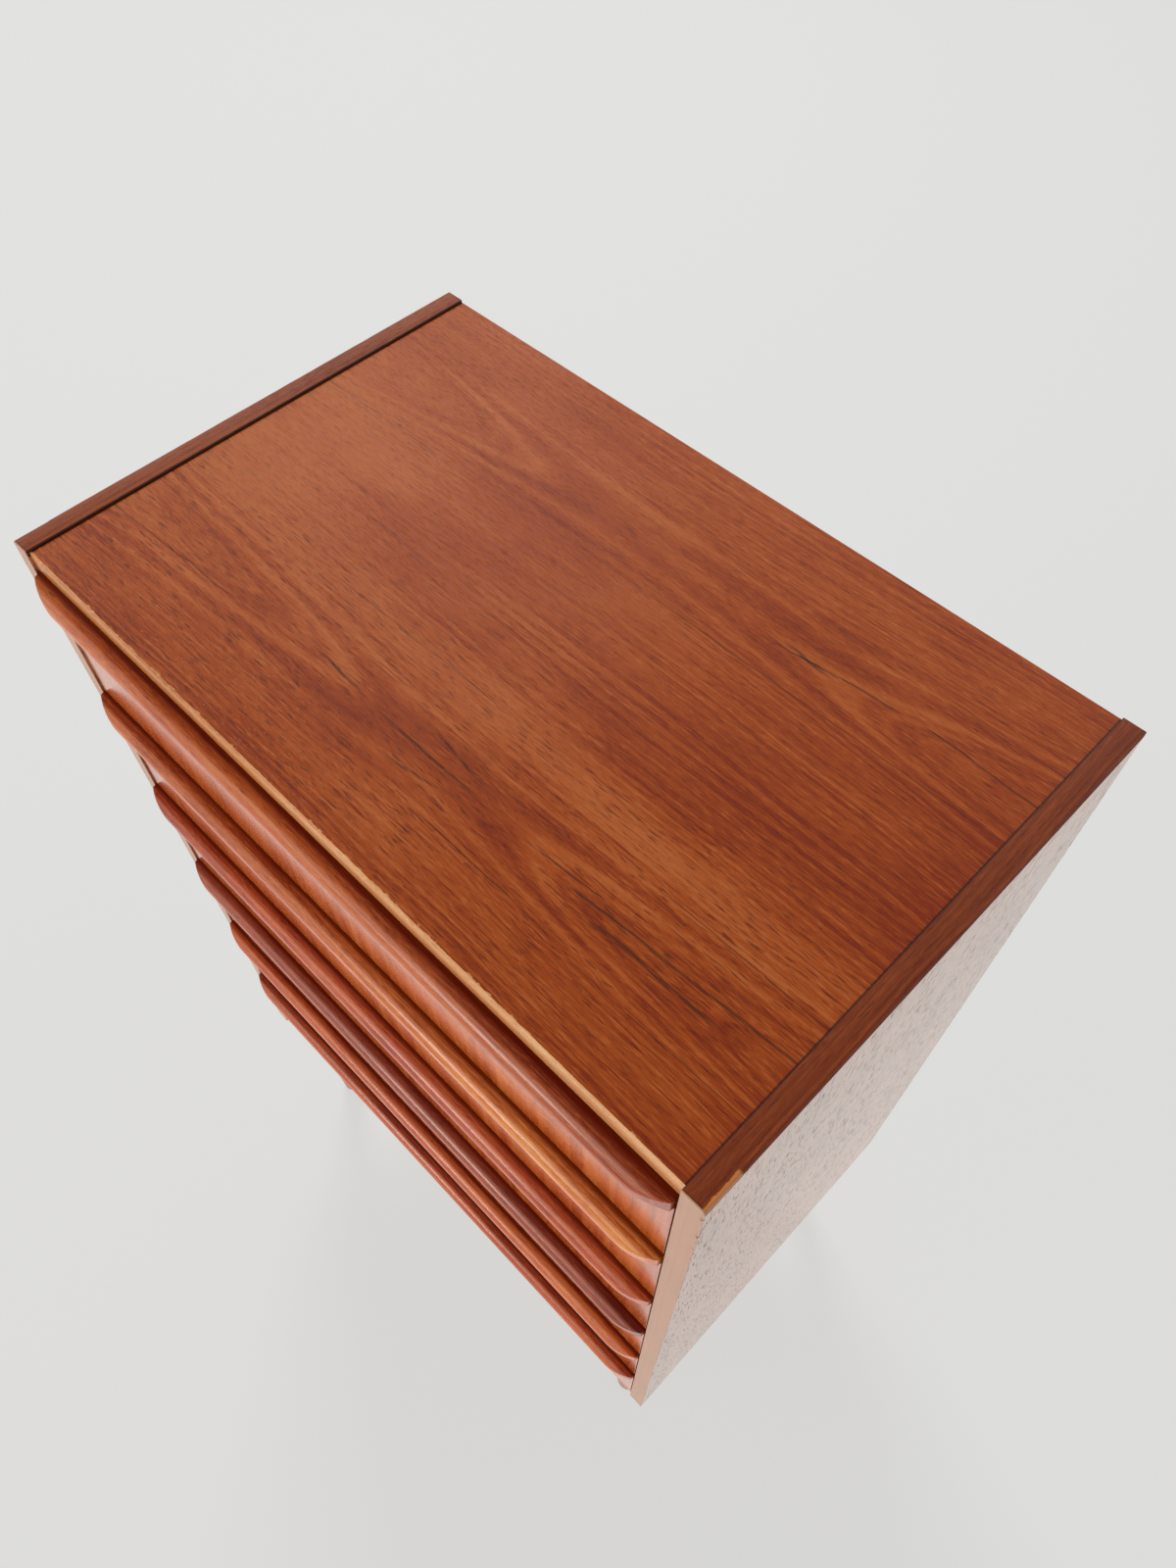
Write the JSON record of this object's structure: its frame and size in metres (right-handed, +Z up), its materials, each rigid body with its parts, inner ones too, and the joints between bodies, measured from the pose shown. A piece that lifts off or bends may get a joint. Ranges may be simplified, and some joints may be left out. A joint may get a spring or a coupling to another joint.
{
  "type": "tallboy",
  "caption": "Tall narrow teak chest of full-width drawers with shaped lip pulls, raised on round tapered legs.",
  "frame": {"origin": "on the floor, under the middle of the outline (bounding box bottom centre)", "axes": "+Z up; +X to the right as seen by someone facing the drawers; the drawers open towards -Y"},
  "size_m": [0.6, 0.388, 1.003],
  "materials": {
    "teak_veneer": "satin lacquered teak veneer",
    "drawer_veneer": "satin lacquered teak veneer, vertical grain",
    "teak_dark_edge": "satin dark solid teak",
    "teak_pale_edge": "satin pale solid teak",
    "pull_brown": "satin solid teak",
    "pull_orange": "satin solid teak",
    "pull_red": "satin solid teak",
    "pull_dark": "satin dark solid teak",
    "teak_leg": "satin turned teak",
    "hardwood": "plain waxed hardwood",
    "plywood": "smooth birch-faced plywood",
    "screw_steel": "zinc plated",
    "plate_steel": "dull plated",
    "glide_plastic": "matt"
  },
  "bodies": {
    "carcass": {"left_side_panel": "teak_veneer", "right_side_panel": "teak_veneer", "top_panel": "teak_veneer", "bottom_panel": "teak_veneer", "left_side_top_lipping": "teak_dark_edge", "right_side_top_lipping": "teak_dark_edge", "left_side_front_edging": "teak_pale_edge", "right_side_front_edging": "teak_pale_edge", "top_panel_lipping": "teak_pale_edge", "bottom_panel_lipping": "teak_pale_edge", "back_panel": "plywood", "back_panel_screws": "screw_steel", "left_drawer_runners": "hardwood", "right_drawer_runners": "hardwood", "runner_screws": "screw_steel", "carcass_dowels": "hardwood", "front_left_leg": "teak_leg", "front_right_leg": "teak_leg", "rear_left_leg": "teak_leg", "rear_right_leg": "teak_leg", "leg_plates": "plate_steel", "leg_plate_screws": "screw_steel", "leg_studs": "plate_steel", "leg_glides": "glide_plastic"},
    "drawer_1": {"drawer_1_front": "drawer_veneer", "drawer_1_pull": "pull_brown", "drawer_1_left_side": "hardwood", "drawer_1_right_side": "hardwood", "drawer_1_back": "hardwood", "drawer_1_bottom": "plywood"},
    "drawer_2": {"drawer_2_front": "drawer_veneer", "drawer_2_pull": "pull_orange", "drawer_2_left_side": "hardwood", "drawer_2_right_side": "hardwood", "drawer_2_back": "hardwood", "drawer_2_bottom": "plywood"},
    "drawer_3": {"drawer_3_front": "drawer_veneer", "drawer_3_pull": "pull_red", "drawer_3_left_side": "hardwood", "drawer_3_right_side": "hardwood", "drawer_3_back": "hardwood", "drawer_3_bottom": "plywood"},
    "drawer_4": {"drawer_4_front": "drawer_veneer", "drawer_4_pull": "pull_dark", "drawer_4_left_side": "hardwood", "drawer_4_right_side": "hardwood", "drawer_4_back": "hardwood", "drawer_4_bottom": "plywood"},
    "drawer_5": {"drawer_5_front": "drawer_veneer", "drawer_5_pull": "pull_orange", "drawer_5_left_side": "hardwood", "drawer_5_right_side": "hardwood", "drawer_5_back": "hardwood", "drawer_5_bottom": "plywood"},
    "drawer_6": {"drawer_6_front": "drawer_veneer", "drawer_6_pull": "pull_red", "drawer_6_left_side": "hardwood", "drawer_6_right_side": "hardwood", "drawer_6_back": "hardwood", "drawer_6_bottom": "plywood"}
  },
  "joints": [
    {"name": "drawer_1_slide", "type": "slide", "parent": "carcass", "child": "drawer_1", "axis": [0, -1, 0], "range_m": [0, 0.25]},
    {"name": "drawer_2_slide", "type": "slide", "parent": "carcass", "child": "drawer_2", "axis": [0, -1, 0], "range_m": [0, 0.25]},
    {"name": "drawer_3_slide", "type": "slide", "parent": "carcass", "child": "drawer_3", "axis": [0, -1, 0], "range_m": [0, 0.25]},
    {"name": "drawer_4_slide", "type": "slide", "parent": "carcass", "child": "drawer_4", "axis": [0, -1, 0], "range_m": [0, 0.25]},
    {"name": "drawer_5_slide", "type": "slide", "parent": "carcass", "child": "drawer_5", "axis": [0, -1, 0], "range_m": [0, 0.25]},
    {"name": "drawer_6_slide", "type": "slide", "parent": "carcass", "child": "drawer_6", "axis": [0, -1, 0], "range_m": [0, 0.25]}
  ]
}
